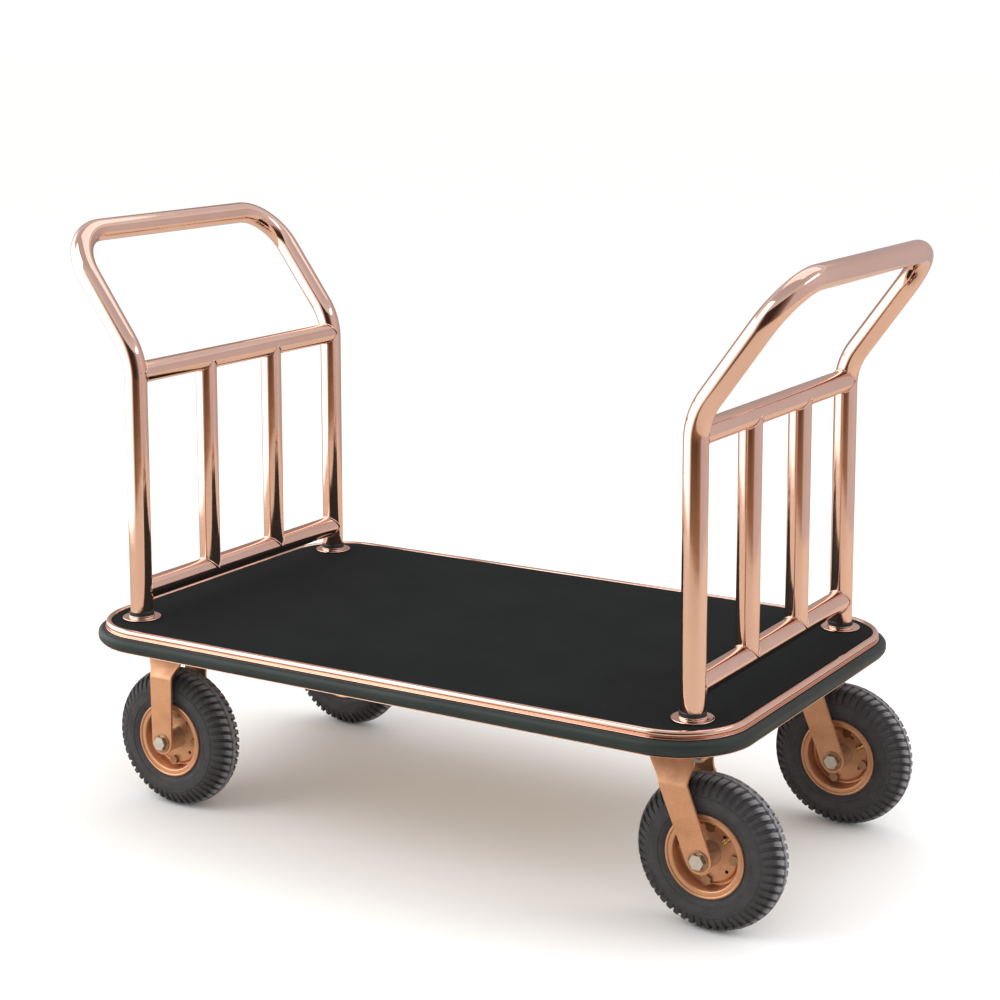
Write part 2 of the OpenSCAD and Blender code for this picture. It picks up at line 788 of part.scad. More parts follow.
color(zinc) on_axle(rr[0], rr[1]) axle_bolt();  // rr_axle_bolt
color(zinc) on_axle(rr[0], rr[1]) axle_nut();  // rr_axle_nut
color(zinc) on_axle(rr[0], rr[1]) axle_spacers();  // rr_axle_spacers
for (w = [["fl", fl], ["rl", rl], ["fr", fr], ["rr", rr]]) on_axle(w[1][0], w[1][1]) {
  tyre();
  inner_tube();
  rim(w[1][2]);
  rim_bolts(w[1][2]);
  hub();
  bearings();
  valve(w[1][2]);
}
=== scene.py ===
import math

import bmesh
import bpy
from mathutils import Matrix, Vector
from mathutils import noise as noise_3d


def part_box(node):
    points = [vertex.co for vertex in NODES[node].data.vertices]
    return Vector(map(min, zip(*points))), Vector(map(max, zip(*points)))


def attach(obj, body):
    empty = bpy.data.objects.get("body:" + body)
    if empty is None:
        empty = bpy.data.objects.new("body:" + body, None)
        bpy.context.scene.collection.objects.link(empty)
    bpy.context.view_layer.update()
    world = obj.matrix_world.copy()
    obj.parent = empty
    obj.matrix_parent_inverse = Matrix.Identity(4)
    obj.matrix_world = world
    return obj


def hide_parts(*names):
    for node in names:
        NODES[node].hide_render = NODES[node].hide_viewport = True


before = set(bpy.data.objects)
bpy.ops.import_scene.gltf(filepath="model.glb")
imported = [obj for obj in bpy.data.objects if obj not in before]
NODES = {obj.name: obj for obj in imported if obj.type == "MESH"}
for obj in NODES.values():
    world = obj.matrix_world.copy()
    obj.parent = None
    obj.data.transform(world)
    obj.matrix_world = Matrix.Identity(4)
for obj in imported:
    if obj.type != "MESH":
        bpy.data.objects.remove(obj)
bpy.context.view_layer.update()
WHEELS = ("fl", "rl", "fr", "rr")
SWIVELS = ("fr", "rr")

# ---- sizes, in metres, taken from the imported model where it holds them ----

MM = 0.001
TUBE_R = 17.5 * MM
TUBE_WALL = 1.5 * MM
RAIL_R = 17 * MM
KINK_ABOVE_DECK = 411 * MM
KINK_BEND_R = 100 * MM
CORNER_BEND_R = 78 * MM
BALUSTER_Y = 85 * MM
RAIL_HEIGHTS = (44 * MM, 387 * MM)

handle_low, handle_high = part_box("right_handle")
carpet_low, carpet_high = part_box("carpet")
flange_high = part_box("post_flanges")[1]
DECK_Z = carpet_high.z
POST_X = handle_low.x + TUBE_R
POST_Y = handle_high.y - TUBE_R
TOP_X = handle_high.x - TUBE_R
TOP_Z = handle_high.z - TUBE_R
KINK_Z = DECK_Z + KINK_ABOVE_DECK
FLANGE_R = flange_high.y - POST_Y

plate_low, plate_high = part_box("swivel_plates")
SWIVEL_X = (plate_low.x + plate_high.x) / 2


def caster_of(corner):
    """Centre of a corner's wheel, on its axle."""
    low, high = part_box(corner + "_tyre")
    return (low + high) / 2


# ---- camera, floor and light ----

VIEW_TURN = math.radians(30.974)
VIEW_DOWN = math.radians(8.427)


def make_camera():
    """Camera at the photograph's place, with its focal length and its lens shift."""
    data = bpy.data.cameras.new("camera")
    data.sensor_width = 36
    data.lens = 77.7
    data.shift_x = -0.0179
    data.shift_y = -0.1629
    data.dof.use_dof = False
    data.clip_end = 150
    camera = bpy.data.objects.new("camera", data)
    camera.location = (1.7134, -2.7651, 1.2297)
    camera.rotation_euler = (math.pi / 2 - VIEW_DOWN, 0, VIEW_TURN)
    bpy.context.scene.collection.objects.link(camera)
    bpy.context.scene.camera = camera


def around_cart(turn, distance):
    """Point on the floor, a turn in degrees from the camera's side, at a distance from the cart."""
    angle = -math.pi / 2 + VIEW_TURN + math.radians(turn)
    return Vector((math.cos(angle), math.sin(angle), 0)) * distance


def area_light(name, turn, distance, height, size, power, colour, aim=(0, 0, 0.35)):
    """Soft box that faces the cart."""
    data = bpy.data.lights.new(name, "AREA")
    data.shape = "RECTANGLE"
    data.size, data.size_y = size
    data.energy = power
    data.color = colour
    lamp = bpy.data.objects.new(name, data)
    lamp.location = around_cart(turn, distance) + Vector((0, 0, height))
    lamp.rotation_euler = (Vector(aim) - lamp.location).to_track_quat("-Z", "Y").to_euler()
    bpy.context.scene.collection.objects.link(lamp)
    return lamp


def studio_wall():
    """Ring of screens and flags that only the polished surfaces see. Its colour goes by the turn
    from the camera's side, -180 to 180 degrees, and warms towards the floor."""
    stops = [(-180, (0.34, 0.27, 0.25)), (-156, (0.40, 0.32, 0.30)), (-138, (0.62, 0.54, 0.52)),
             (-118, (2.3, 2.3, 2.3)), (-60, (2.3, 2.3, 2.3)), (-44, (1.1, 1.05, 1.0)),
             (-33, (0.16, 0.11, 0.09)), (-24, (0.04, 0.026, 0.022)), (6, (0.04, 0.025, 0.02)),
             (20, (0.13, 0.08, 0.06)), (31, (0.25, 0.17, 0.14)), (40, (0.60, 0.53, 0.54)),
             (95, (0.66, 0.61, 0.62)), (150, (0.50, 0.44, 0.44)), (180, (0.34, 0.27, 0.25))]
    radius, top, steps = 2.4, 2.1, 96
    turns = [-180 + 360 * i / steps for i in range(steps)]
    verts = [around_cart(t, radius) + Vector((0, 0, z)) for t in turns for z in (0.0, top)]
    faces = [(2 * i, (2 * i + 2) % (2 * steps), (2 * i + 3) % (2 * steps), 2 * i + 1)
             for i in range(steps)]
    mat = bpy.data.materials.new("studio_wall")
    mat.use_nodes = True
    nodes, links = mat.node_tree.nodes, mat.node_tree.links
    nodes.clear()
    split = nodes.new("ShaderNodeSeparateXYZ")
    place = nodes.new("ShaderNodeTexCoord")
    spin = nodes.new("ShaderNodeMapping")
    spin.inputs["Rotation"].default_value = (0, 0, math.pi / 2 - VIEW_TURN)
    links.new(place.outputs["Object"], spin.inputs["Vector"])
    links.new(spin.outputs["Vector"], split.inputs[0])
    turn = arithmetic(mat, "ARCTAN2", split.outputs["Y"], split.outputs["X"])
    share = spread(mat, turn, 0, 1, -math.pi, math.pi)
    scene_light = 2.6
    colour = ramp(mat, share, [((t + 180) / 360, tuple(c / scene_light for c in rgb))
                               for t, rgb in stops])
    warm = spread(mat, split.outputs["Z"], 1, 0, 0.0, 0.36)
    dark = spread(mat, share, 1, 0, 0.57, 0.62)
    dark = arithmetic(mat, "MULTIPLY", dark, spread(mat, share, 0, 1, 0.41, 0.44))
    tint = arithmetic(mat, "MULTIPLY", warm, dark)
    colour = mix_colour(mat, tint, colour, (0.13, 0.075, 0.035))
    glow = nodes.new("ShaderNodeEmission")
    glow.inputs["Strength"].default_value = scene_light
    links.new(colour, glow.inputs["Color"])
    out = nodes.new("ShaderNodeOutputMaterial")
    links.new(glow.outputs[0], out.inputs["Surface"])
    wall = add_mesh("studio_wall", verts, faces, mat)
    wall.visible_camera = False
    wall.visible_diffuse = False
    wall.visible_shadow = False
    wall.visible_transmission = False


def make_floor():
    """Plain pale floor, which the polished surfaces see darker and warmer."""
    half = 45
    mat, links, shader = new_material("floor_paint", 0.8, Specular_IOR_Level=0.0)
    pale = ramp(mat, noise(mat, 3.0, 4), [(0.3, (0.950, 0.946, 0.940)),
                                          (0.7, (0.962, 0.958, 0.954))])
    ray = mat.node_tree.nodes.new("ShaderNodeLightPath")
    links.new(mix_colour(mat, ray.outputs["Is Glossy Ray"], pale, (0.56, 0.48, 0.40)),
              shader.inputs["Base Color"])
    verts = [(-half, -half, 0), (half, -half, 0), (half, half, 0), (-half, half, 0)]
    floor = add_mesh("floor", verts, [(0, 1, 2, 3)], mat)


def make_world():
    """Even white surroundings; reflections see them a little darker overhead."""
    world = bpy.data.worlds.new("studio")
    bpy.context.scene.world = world
    world.use_nodes = True
    nodes, links = world.node_tree.nodes, world.node_tree.links
    direction = nodes.new("ShaderNodeTexCoord")
    split = nodes.new("ShaderNodeSeparateXYZ")
    shade = nodes.new("ShaderNodeValToRGB")
    shade.color_ramp.elements[0].position = 0.25
    shade.color_ramp.elements[0].color = (0.92, 0.90, 0.90, 1)
    shade.color_ramp.elements[1].position = 0.85
    shade.color_ramp.elements[1].color = (0.52, 0.49, 0.51, 1)
    ray = nodes.new("ShaderNodeLightPath")
    choose = nodes.new("ShaderNodeMix")
    choose.data_type = "RGBA"
    choose.inputs[6].default_value = (1.06, 1.055, 1.05, 1)
    links.new(direction.outputs["Generated"], split.inputs[0])
    links.new(split.outputs["Z"], shade.inputs["Fac"])
    links.new(ray.outputs["Is Glossy Ray"], choose.inputs[0])
    links.new(shade.outputs["Color"], choose.inputs[7])
    links.new(choose.outputs[2], nodes["Background"].inputs["Color"])
    nodes["Background"].inputs["Strength"].default_value = 1.0


def make_studio():
    bpy.context.scene.view_settings.view_transform = "Standard"
    make_world()
    make_floor()
    area_light("key_light", -70, 2.6, 2.6, (2.2, 2.2), 34, (1.0, 0.98, 0.95))
    area_light("side_light", 75, 3.0, 1.9, (1.8, 1.8), 30, (0.96, 0.98, 1.0))
    area_light("top_light", 150, 1.2, 3.4, (3.0, 2.4), 16, (1.0, 1.0, 1.0))
    studio_wall()


# ---- material helpers ----

def new_material(name, roughness, metallic=0.0, **sockets):
    """Material with a Principled shader; sockets are other fixed values, by name with _ for spaces."""
    mat = bpy.data.materials.new(name)
    mat.use_nodes = True
    nodes, links = mat.node_tree.nodes, mat.node_tree.links
    shader = nodes["Principled BSDF"]
    shader.inputs["Roughness"].default_value = roughness
    shader.inputs["Metallic"].default_value = metallic
    for key, value in sockets.items():
        shader.inputs[key.replace("_", " ")].default_value = value
    return mat, links, shader


def mapped(mat, stretch):
    """Object coordinates, scaled by stretch."""
    nodes, links = mat.node_tree.nodes, mat.node_tree.links
    place = nodes.new("ShaderNodeTexCoord")
    mapping = nodes.new("ShaderNodeMapping")
    mapping.inputs["Scale"].default_value = stretch
    links.new(place.outputs["Object"], mapping.inputs["Vector"])
    return mapping.outputs["Vector"]


def noise(mat, scale, detail=3, rough=0.55, stretch=(1, 1, 1)):
    """Cloud pattern, mostly between 0.3 and 0.7."""
    nodes, links = mat.node_tree.nodes, mat.node_tree.links
    cloud = nodes.new("ShaderNodeTexNoise")
    cloud.inputs["Scale"].default_value = scale
    cloud.inputs["Detail"].default_value = detail
    cloud.inputs["Roughness"].default_value = rough
    links.new(mapped(mat, stretch), cloud.inputs["Vector"])
    return cloud.outputs["Fac"]


def cells(mat, scale):
    """Cell pattern: distance from the nearest cell's middle."""
    nodes, links = mat.node_tree.nodes, mat.node_tree.links
    pattern = nodes.new("ShaderNodeTexVoronoi")
    pattern.inputs["Scale"].default_value = scale
    links.new(mapped(mat, (1, 1, 1)), pattern.inputs["Vector"])
    return pattern.outputs["Distance"]


def ramp(mat, fac, stops):
    """Colour that goes through (place, colour) stops as fac rises."""
    nodes, links = mat.node_tree.nodes, mat.node_tree.links
    node = nodes.new("ShaderNodeValToRGB")
    elements = node.color_ramp.elements
    elements[0].position, elements[-1].position = stops[0][0], stops[-1][0]
    elements[0].color, elements[-1].color = (*stops[0][1], 1), (*stops[-1][1], 1)
    for place, colour in stops[1:-1]:
        elements.new(place).color = (*colour, 1)
    links.new(fac, node.inputs["Fac"])
    return node.outputs["Color"]


def spread(mat, fac, low, high, from_low=0.3, from_high=0.7):
    """Value from low to high as fac goes from from_low to from_high."""
    nodes, links = mat.node_tree.nodes, mat.node_tree.links
    node = nodes.new("ShaderNodeMapRange")
    node.inputs["From Min"].default_value = from_low
    node.inputs["From Max"].default_value = from_high
    node.inputs["To Min"].default_value = low
    node.inputs["To Max"].default_value = high
    links.new(fac, node.inputs["Value"])
    return node.outputs["Result"]


def arithmetic(mat, operation, a, b):
    nodes, links = mat.node_tree.nodes, mat.node_tree.links
    node = nodes.new("ShaderNodeMath")
    node.operation = operation
    for socket, value in zip(node.inputs, (a, b)):
        if isinstance(value, (int, float)):
            socket.default_value = value
        else:
            links.new(value, socket)
    return node.outputs[0]


def mix_colour(mat, fac, a, b):
    nodes, links = mat.node_tree.nodes, mat.node_tree.links
    node = nodes.new("ShaderNodeMix")
    node.data_type = "RGBA"
    links.new(fac, node.inputs[0])
    for socket, value in zip((node.inputs[6], node.inputs[7]), (a, b)):
        if isinstance(value, tuple):
            socket.default_value = (*value, 1)
        else:
            links.new(value, socket)
    return node.outputs[2]


def bump(mat, height, strength, distance):
    """Adds a bump to the shader, over any that it has."""
    nodes, links = mat.node_tree.nodes, mat.node_tree.links
    node = nodes.new("ShaderNodeBump")
    node.inputs["Strength"].default_value = strength
    node.inputs["Distance"].default_value = distance
    links.new(height, node.inputs["Height"])
    normal = nodes["Principled BSDF"].inputs["Normal"]
    if normal.is_linked:
        links.new(normal.links[0].from_socket, node.inputs["Normal"])
    links.new(node.outputs["Normal"], normal)


def distance_from_axle(mat):
    """Distance from a wheel's axle, for a piece whose own origin is on the axle, in metres."""
    nodes, links = mat.node_tree.nodes, mat.node_tree.links
    split = nodes.new("ShaderNodeSeparateXYZ")
    links.new(mapped(mat, (1, 1, 1)), split.inputs[0])
    x_squared = arithmetic(mat, "POWER", split.outputs["X"], 2.0)
    z_squared = arithmetic(mat, "POWER", split.outputs["Z"], 2.0)
    return arithmetic(mat, "SQRT", arithmetic(mat, "ADD", x_squared, z_squared), 0.0)


# ---- materials ----

def copper_mirror():
    """Polished rose-gold plating with faint polishing marks and handling haze."""
    mat, links, shader = new_material("copper_mirror", 0.08, 1.0)
    cloud = noise(mat, 14, 4)
    links.new(ramp(mat, cloud, [(0.3, (0.87, 0.585, 0.475)), (0.7, (0.91, 0.63, 0.52))]),
              shader.inputs["Base Color"])
    links.new(spread(mat, noise(mat, 35, 6, 0.7), 0.055, 0.13), shader.inputs["Roughness"])
    bump(mat, noise(mat, 90, 3, stretch=(1, 1, 0.12)), 0.05, 0.0003)
    bump(mat, noise(mat, 900, 2), 0.04, 0.00005)
    return mat


def copper_paint():
    """Metallic copper powder coat: fine flake, orange peel and slightly darker rubbed patches."""
    mat, links, shader = new_material("copper_paint", 0.38, 0.75, Coat_Weight=0.25,
                                      Coat_Roughness=0.22)
    flake = cells(mat, 1500)
    patch = noise(mat, 22, 5)
    light = ramp(mat, flake, [(0.1, (0.80, 0.45, 0.26)), (0.6, (0.62, 0.32, 0.175))])
    worn = ramp(mat, flake, [(0.1, (0.65, 0.34, 0.19)), (0.6, (0.49, 0.235, 0.125))])
    links.new(mix_colour(mat, spread(mat, patch, 0, 1, 0.5, 0.72), light, worn),
              shader.inputs["Base Color"])
    links.new(spread(mat, noise(mat, 60, 4), 0.3, 0.46), shader.inputs["Roughness"])
    bump(mat, noise(mat, 420, 2), 0.12, 0.0002)
    bump(mat, flake, 0.05, 0.00008)
    return mat


def bumper_rubber():
    """Satin black-green rubber with a fine moulded grain and scuffs along its length."""
    mat, links, shader = new_material("bumper_rubber", 0.36, Specular_IOR_Level=0.3)
    cloud = noise(mat, 9, 5)
    links.new(ramp(mat, cloud, [(0.3, (0.012, 0.0185, 0.017)), (0.7, (0.02, 0.029, 0.0265))]),
              shader.inputs["Base Color"])
    scuff = noise(mat, 26, 7, 0.7, stretch=(0.25, 0.25, 3))
    links.new(spread(mat, scuff, 0.34, 0.55), shader.inputs["Roughness"])
    bump(mat, cells(mat, 1100), 0.09, 0.00012)
    bump(mat, scuff, 0.05, 0.0003)
    return mat


def tyre_rubber():
    """Dark grey rubber with a fine moulded skin; the tread tops paler, partly scuffed wear and partly
    a painted highlight.
    """
    mat, links, shader = new_material("tyre_rubber", 0.7, Specular_IOR_Level=0.35)
    skin = ramp(mat, noise(mat, 45, 6, 0.65), [(0.3, (0.030, 0.028, 0.030)),
                                               (0.7, (0.050, 0.047, 0.050))])
    # Paler tread-top colour: partly scuffed wear, partly a painted highlight where light falls on the
    # tread.
    scuff_and_highlight = ramp(mat, noise(mat, 160, 5, 0.7), [(0.3, (0.20, 0.192, 0.205)),
                                                  (0.7, (0.34, 0.325, 0.345))])
    # Paler from about 104 to 108 mm out from the axle, on the tread tops: wear mixed with a painted
    # highlight.
    tread_top = spread(mat, distance_from_axle(mat), 0.0, 0.7, 0.1035, 0.1085)
    links.new(mix_colour(mat, tread_top, skin, scuff_and_highlight), shader.inputs["Base Color"])
    links.new(spread(mat, noise(mat, 80, 5), 0.55, 0.78), shader.inputs["Roughness"])
    bump(mat, noise(mat, 700, 4, 0.7), 0.22, 0.0003)
    bump(mat, noise(mat, 120, 3), 0.1, 0.0006)
    return mat


def carpet_pile():
    """Short black needle-felt: tangled fibre, soft shading from brushing, a faint cool tint."""
    mat, links, shader = new_material("carpet_pile", 0.95, Sheen_Weight=0.03,
                                      Sheen_Roughness=0.5, Specular_IOR_Level=0.06)
    shader.inputs["Sheen Tint"].default_value = (0.5, 0.6, 0.62, 1)
    fibre = noise(mat, 900, 4, 0.75)
    brushed = noise(mat, 7, 4, 0.6)
    dark = ramp(mat, fibre, [(0.3, (0.0036, 0.0042, 0.0040)), (0.75, (0.0112, 0.0122, 0.0118))])
    pale = ramp(mat, fibre, [(0.3, (0.0054, 0.0060, 0.0059)), (0.75, (0.0148, 0.0162, 0.0156))])
    links.new(mix_colour(mat, spread(mat, brushed, 0, 1), dark, pale), shader.inputs["Base Color"])
    bump(mat, fibre, 0.5, 0.0008)
    bump(mat, cells(mat, 420), 0.25, 0.0006)
    return mat


def plated_steel(name, low, high):
    """Plated steel: a dull film that is thicker in patches, over fine machining marks."""
    mat, links, shader = new_material(name, 0.34, 1.0)
    links.new(ramp(mat, noise(mat, 90, 4), [(0.3, low), (0.7, high)]),
              shader.inputs["Base Color"])
    links.new(spread(mat, noise(mat, 130, 5), 0.28, 0.46), shader.inputs["Roughness"])
    bump(mat, noise(mat, 500, 3), 0.05, 0.0001)
    return mat


def zinc_plate():
    return plated_steel("zinc_plate", (0.62, 0.60, 0.57), (0.76, 0.74, 0.71))


def bronzed_zinc():
    return plated_steel("bronzed_zinc", (0.36, 0.22, 0.13), (0.50, 0.33, 0.21))


def dull_zinc():
    return plated_steel("dull_zinc", (0.22, 0.20, 0.18), (0.34, 0.31, 0.28))


def bearing_steel():
    mat, links, shader = new_material("bearing_steel", 0.18, 1.0)
    links.new(ramp(mat, noise(mat, 200, 3), [(0.3, (0.55, 0.56, 0.58)), (0.7, (0.66, 0.67, 0.69))]),
              shader.inputs["Base Color"])
    links.new(spread(mat, noise(mat, 300, 4), 0.12, 0.26), shader.inputs["Roughness"])
    bump(mat, noise(mat, 1200, 2, stretch=(1, 0.1, 1)), 0.05, 0.00005)
    return mat


def frame_paint():
    """Black enamel on welded box tube, with dust on it."""
    mat, links, shader = new_material("frame_paint", 0.45)
    dust = noise(mat, 18, 6, 0.65)
    links.new(ramp(mat, dust, [(0.35, (0.016, 0.016, 0.017)), (0.8, (0.055, 0.052, 0.048))]),
              shader.inputs["Base Color"])
    links.new(spread(mat, dust, 0.32, 0.62), shader.inputs["Roughness"])
    bump(mat, noise(mat, 350, 3), 0.12, 0.0002)
    return mat


def plywood():
    """Birch plywood: long grain, pores and a sealed surface."""
    mat, links, shader = new_material("plywood", 0.55)
    grain = noise(mat, 30, 8, 0.7, stretch=(0.12, 2.2, 1.0))
    links.new(ramp(mat, grain, [(0.3, (0.42, 0.27, 0.145)), (0.55, (0.55, 0.38, 0.22)),
                                (0.75, (0.62, 0.45, 0.28))]), shader.inputs["Base Color"])
    links.new(spread(mat, grain, 0.48, 0.66), shader.inputs["Roughness"])
    bump(mat, noise(mat, 260, 5, 0.6, stretch=(0.06, 2.5, 1)), 0.2, 0.0003)
    return mat


def tube_rubber():
    mat, links, shader = new_material("tube_rubber", 0.55)
    links.new(ramp(mat, noise(mat, 60, 4), [(0.3, (0.02, 0.02, 0.02)), (0.7, (0.04, 0.04, 0.04))]),
              shader.inputs["Base Color"])
    bump(mat, noise(mat, 400, 3), 0.1, 0.0002)
    return mat


def valve_brass():
    """Bright brass, a little tarnished."""
    mat, links, shader = new_material("valve_brass", 0.3, 1.0)
    links.new(ramp(mat, noise(mat, 240, 4), [(0.3, (0.55, 0.36, 0.12)), (0.7, (0.72, 0.50, 0.2))]),
              shader.inputs["Base Color"])
    links.new(spread(mat, noise(mat, 300, 3), 0.22, 0.4), shader.inputs["Roughness"])
    bump(mat, noise(mat, 900, 2), 0.1, 0.0001)
    return mat


# ---- mesh helpers ----

def add_mesh(name, verts, faces, mat, crease=40, place=(0, 0, 0)):
    """Smooth-shaded mesh object with edges sharper than crease degrees kept crisp."""
    mesh = bpy.data.meshes.new(name)
    mesh.from_pydata([tuple(v) for v in verts], [], faces)
    mesh.update()
    mesh.materials.append(mat)
    mesh.shade_smooth()
    mesh.set_sharp_from_angle(angle=math.radians(crease))
    obj = bpy.data.objects.new(name, mesh)
    obj.location = place
    bpy.context.scene.collection.objects.link(obj)
    return obj


def turn_outward(obj):
    """Makes every face of a closed mesh look outward."""
    shape = bmesh.new()
    shape.from_mesh(obj.data)
    bmesh.ops.recalc_face_normals(shape, faces=shape.faces)
    shape.to_mesh(obj.data)
    shape.free()


def grid_faces(rows, cols, wrap_rows=False, wrap_cols=False):
    """Four-sided faces of a grid of points stored row by row, closed on itself where it wraps."""
    faces = []
    for i in range(rows if wrap_rows else rows - 1):
        for j in range(cols if wrap_cols else cols - 1):
            i2, j2 = (i + 1) % rows, (j + 1) % cols
            faces.append((i * cols + j, i2 * cols + j, i2 * cols + j2, i * cols + j2))
    return faces


def rounded_path(corners, radii, steps=14):
    """Polyline through corners, each inner corner rounded with its radius."""
    points = [Vector(corners[0])]
    for before, here, after, radius in zip(corners, corners[1:], corners[2:], radii):
        here = Vector(here)
        into = (here - Vector(before)).normalized()
        out = (Vector(after) - here).normalized()
        bend = into.angle(out)
        reach = radius * math.tan(bend / 2)
        centre = here - into * reach + (out - into * into.dot(out)).normalized() * radius
        axis = into.cross(out).normalized()
        spoke = (here - into * reach) - centre
        points += [centre + Matrix.Rotation(bend * i / steps, 3, axis) @ spoke
                   for i in range(steps + 1)]
    points.append(Vector(corners[-1]))
    return points


def swept_rings(points, radius_at, segments):
    """Rings of a round bar along points, with no twist; radius_at gives each ring's radius."""
    rings = []
    along = (points[1] - points[0]).normalized()
    side = along.orthogonal().normalized()
    for i, point in enumerate(points):
        ahead = points[min(i + 1, len(points) - 1)] - points[max(i - 1, 0)]
        turn = along.rotation_difference(ahead.normalized())
        along = ahead.normalized()
        side = (turn @ side)
        side = (side - along * side.dot(along)).normalized()
        across = along.cross(side)
        rings.append([point + (side * math.cos(a) + across * math.sin(a)) * radius_at(i)
                      for a in (2 * math.pi * k / segments for k in range(segments))])
    return rings


def pipe(name, points, outer, wall, mat, segments=64, radius_at=None):
    """Hollow tube along points, closed over the wall at both ends."""
    radius_at = radius_at or (lambda i: outer)
    skin = swept_rings(points, radius_at, segments)
    bore = swept_rings(points, lambda i: radius_at(i) - wall, segments)
    rings = skin + bore[::-1]
    verts = [v for ring in rings for v in ring]
    obj = add_mesh(name, verts, grid_faces(len(rings), segments, True, True), mat)
    turn_outward(obj)
    return obj


def lathe(name, outline, mat, place, steps=128, axis="Y", closed=True, crease=35):
    """Turned piece: outline is (radius, place along the axis) points, turned about the axis."""
    verts = []
    for radius, along in outline:
        for k in range(steps):
            angle = 2 * math.pi * k / steps
            u, v = radius * math.cos(angle), radius * math.sin(angle)
            verts.append((u, along, v) if axis == "Y" else (u, v, along))
    obj = add_mesh(name, verts, grid_faces(len(outline), steps, closed, True), mat, crease, place)
    turn_outward(obj)
    return obj


def arc(centre, radius, start, end, steps):
    """Points of an arc in the plane of an outline, angles in degrees."""
    return [(centre[0] + radius * math.cos(math.radians(start + (end - start) * i / steps)),
             centre[1] + radius * math.sin(math.radians(start + (end - start) * i / steps)))
            for i in range(steps + 1)]


def join(name, objs):
    """Joins meshes that share a material into one piece."""
    for o in bpy.context.selected_objects:
        o.select_set(False)
    for o in objs:
        o.select_set(True)
    bpy.context.view_layer.objects.active = objs[0]
    bpy.ops.object.join()
    objs[0].name = name
    objs[0].data.name = name
    return objs[0]


def settle(piece, body, slot, *replaced):
    """Puts a piece on the body that it rides on and hides the nodes that it stands for; its finish,
    slot, is not used.
    """
    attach(piece, body)
    if replaced:
        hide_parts(*replaced)
    return piece


# ---- carried-over CAD nodes ----

def dress_nodes(materials):
    """Gives every CAD node the material of its slot."""
    finishes = {
        "copper_mirror": ("edge_trim", "post_flanges", "left_handle", "right_handle",
                          "cross_rails", "balusters"),
        "copper_paint": ("swivel_plates",) + tuple(w + "_fork" for w in WHEELS)
                        + tuple(w + "_rim" for w in WHEELS),
        "carpet_pile": ("carpet",),
        "plywood": ("deck_panel",),
        "bumper_rubber": ("bumper",),
        "frame_paint": ("frame_rails", "crossmembers", "caster_pads", "post_sockets"),
        "bearing_steel": ("race_balls",) + tuple(w + "_bearings" for w in WHEELS),
        "tyre_rubber": tuple(w + "_tyre" for w in WHEELS),
        "tube_rubber": tuple(w + "_inner_tube" for w in WHEELS),
        "valve_brass": tuple(w + "_valve" for w in WHEELS),
        "bronzed_zinc": tuple(w + "_rim_bolts" for w in WHEELS),
        "dull_zinc": ("caster_bolts", "king_pins", "post_set_screws"),
    }
    for name, node in NODES.items():
        finish = next((f for f, names in finishes.items() if name in names), "zinc_plate")
        node.data.materials.clear()
        node.data.materials.append(materials[finish])
        node.data.shade_smooth()
        node.data.set_sharp_from_angle(angle=math.radians(32))


# ---- hand rails ----

def handle_line(side):
    """Centre line of a bent handle, foot to foot; side is -1 at the left end and 1 at the right."""
    foot = handle_low.z
    corners = [(side * POST_X, -POST_Y, foot), (side * POST_X, -POST_Y, KINK_Z),
               (side * TOP_X, -POST_Y, TOP_Z), (side * TOP_X, POST_Y, TOP_Z),
               (side * POST_X, POST_Y, KINK_Z), (side * POST_X, POST_Y, foot)]
    return rounded_path(corners, (KINK_BEND_R, CORNER_BEND_R, CORNER_BEND_R, KINK_BEND_R), 18)


def make_handles(mat):
    for side, node in ((-1, "left_handle"), (1, "right_handle")):
        tube = pipe(node + "_tube", handle_line(side), TUBE_R, TUBE_WALL, mat, 72)
        settle(tube, "cart", "copper_mirror", node)


def make_rails(mat):
    """Cross rails and balusters, each running into the tube that it is welded to."""
    rails, balusters = [], []
    bite = 2 * MM
    for sx in (-1, 1):
        for height in RAIL_HEIGHTS:
            z = DECK_Z + height
            reach = POST_Y - bite
            line = [Vector((sx * POST_X, y, z)) for y in (-reach, reach)]
            rails.append(pipe("rail", line, RAIL_R, TUBE_WALL, mat, 72))
        for sy in (-1, 1):
            ends = (DECK_Z + RAIL_HEIGHTS[0] + bite, DECK_Z + RAIL_HEIGHTS[1] - bite)
            line = [Vector((sx * POST_X, sy * BALUSTER_Y, z)) for z in ends]
            balusters.append(pipe("baluster", line, RAIL_R, TUBE_WALL, mat, 72))
    settle(join("cross_rail_tubes", rails), "cart", "copper_mirror", "cross_rails")
    settle(join("baluster_tubes", balusters), "cart", "copper_mirror", "balusters")


def weld(centre, toward, along, host_r, mat):
    """Polished weld bead round the joint of a rail that leaves centre toward a direction; the host
    tube's axis runs along."""
    across = toward.cross(along)
    count, bead_r, ripples = 96, 1.9 * MM, 30
    points = []
    for k in range(count):
        t = 2 * math.pi * k / count
        a, b = RAIL_R * math.cos(t), RAIL_R * math.sin(t)
        out = math.sqrt(max(host_r ** 2 - a ** 2, 0))
        points.append(centre + across * a + along * b + toward * out)
    middle = sum(points, Vector()) / count
    rings = []
    for k, point in enumerate(points):
        ahead = (points[(k + 1) % count] - points[k - 1]).normalized()
        side = (point - middle).normalized()
        side = (side - ahead * side.dot(ahead)).normalized()
        up = ahead.cross(side)
        radius = bead_r * (1 + 0.08 * math.cos(2 * math.pi * ripples * k / count))
        rings.append([point + (side * math.cos(q) + up * math.sin(q)) * radius
                      for q in (2 * math.pi * m / 12 for m in range(12))])
    verts = [v for ring in rings for v in ring]
    bead = add_mesh("weld", verts, grid_faces(count, 12, True, True), mat)
    turn_outward(bead)
    return bead


